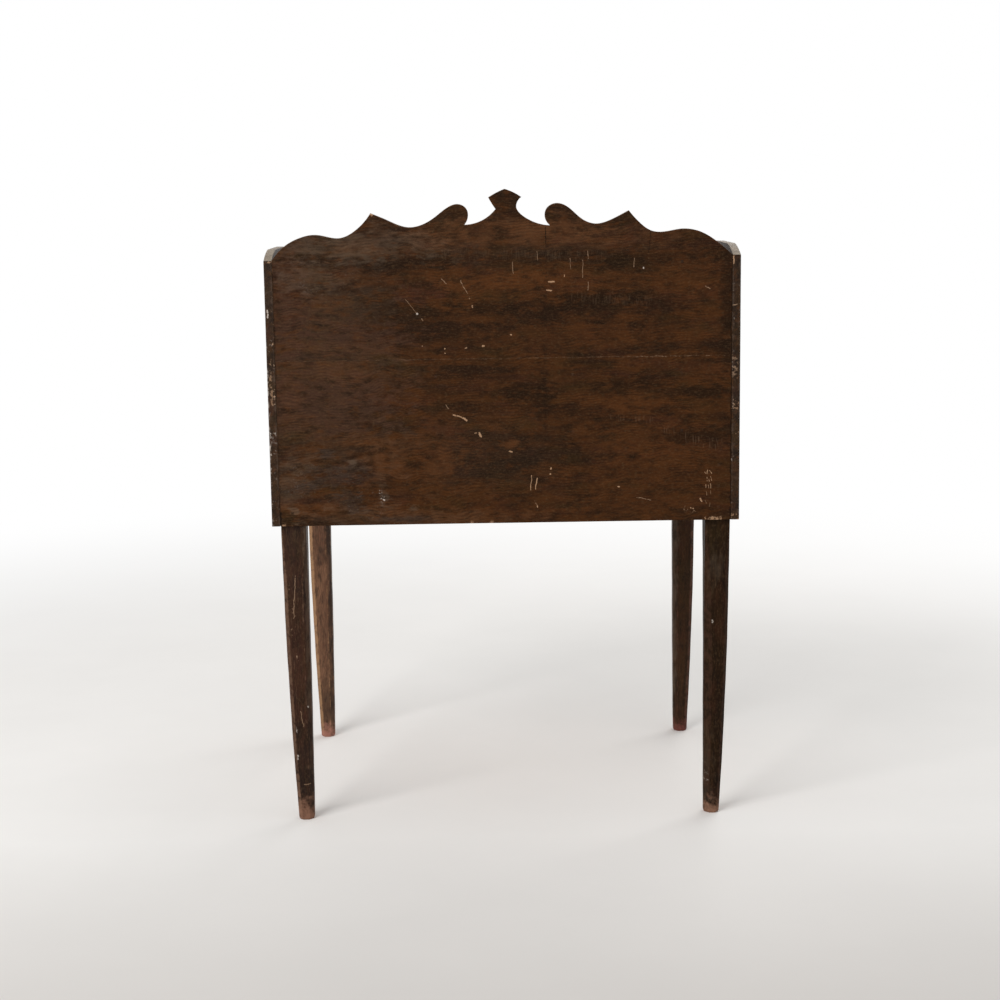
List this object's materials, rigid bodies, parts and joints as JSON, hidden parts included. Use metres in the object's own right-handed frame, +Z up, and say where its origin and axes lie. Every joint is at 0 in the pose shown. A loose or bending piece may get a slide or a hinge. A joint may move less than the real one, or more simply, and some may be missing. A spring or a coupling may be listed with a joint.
{
  "type": "bonheur du jour",
  "caption": "Small writing desk on tapered legs: a wide drawer under the writing board, a raised stage of small drawers and pigeonholes, shaped sides and a scroll-cut back.",
  "frame": {"origin": "on the floor, under the middle of the desk's box", "axes": "+Z up; the drawers open towards -Y; the scroll-cut back faces +Y; +X is on the right seen from the front"},
  "size_m": [0.85, 0.6406, 1.166],
  "materials": {
    "grained_wood": "dark brown painted graining under worn varnish",
    "drawer_lining": "bare, aged",
    "bare_softwood": "bare, rough-sawn",
    "knob_wood": "turned and polished",
    "nail_iron": "painted over"
  },
  "bodies": {
    "carcass": {"back_board_lower": "grained_wood", "back_board_upper": "grained_wood", "back_nails": "nail_iron", "drawer_divider_1": "grained_wood", "drawer_divider_2": "grained_wood", "drawer_guide_left": "bare_softwood", "drawer_guide_right": "bare_softwood", "drawer_kicker_left": "bare_softwood", "drawer_kicker_right": "bare_softwood", "drawer_runner_left": "bare_softwood", "drawer_runner_right": "bare_softwood", "drawer_stops": "bare_softwood", "frieze_rail_bottom": "grained_wood", "frieze_rail_top": "grained_wood", "leg_back_left": "grained_wood", "leg_back_right": "grained_wood", "leg_front_left": "grained_wood", "leg_front_right": "grained_wood", "middle_shelf": "grained_wood", "pigeonhole_divider_1": "grained_wood", "pigeonhole_divider_2": "grained_wood", "pigeonhole_divider_3": "grained_wood", "pigeonhole_divider_4": "grained_wood", "side_board_left": "grained_wood", "side_board_right": "grained_wood", "side_nails": "nail_iron", "top_shelf": "grained_wood", "writing_board": "grained_wood", "writing_board_nosing": "grained_wood"},
    "frieze_drawer": {"frieze_drawer_back": "drawer_lining", "frieze_drawer_bottom": "drawer_lining", "frieze_drawer_front": "grained_wood", "frieze_drawer_side_left": "drawer_lining", "frieze_drawer_side_right": "drawer_lining", "frieze_knob_left": "knob_wood", "frieze_knob_right": "knob_wood"},
    "small_drawer_1": {"small_drawer_1_back": "drawer_lining", "small_drawer_1_bottom": "drawer_lining", "small_drawer_1_front": "grained_wood", "small_drawer_1_side_left": "drawer_lining", "small_drawer_1_side_right": "drawer_lining", "small_knob_1": "knob_wood"},
    "small_drawer_2": {"small_drawer_2_back": "drawer_lining", "small_drawer_2_bottom": "drawer_lining", "small_drawer_2_front": "grained_wood", "small_drawer_2_side_left": "drawer_lining", "small_drawer_2_side_right": "drawer_lining", "small_knob_2": "knob_wood"},
    "small_drawer_3": {"small_drawer_3_back": "drawer_lining", "small_drawer_3_bottom": "drawer_lining", "small_drawer_3_front": "grained_wood", "small_drawer_3_side_left": "drawer_lining", "small_drawer_3_side_right": "drawer_lining", "small_knob_3": "knob_wood"}
  },
  "joints": [
    {"name": "frieze_drawer_slide", "type": "slide", "parent": "carcass", "child": "frieze_drawer", "axis": [0, -1, 0], "range_m": [0, 0.38]},
    {"name": "small_drawer_1_slide", "type": "slide", "parent": "carcass", "child": "small_drawer_1", "axis": [0, -1, 0], "range_m": [0, 0.15]},
    {"name": "small_drawer_2_slide", "type": "slide", "parent": "carcass", "child": "small_drawer_2", "axis": [0, -1, 0], "range_m": [0, 0.15]},
    {"name": "small_drawer_3_slide", "type": "slide", "parent": "carcass", "child": "small_drawer_3", "axis": [0, -1, 0], "range_m": [0, 0.15]}
  ]
}
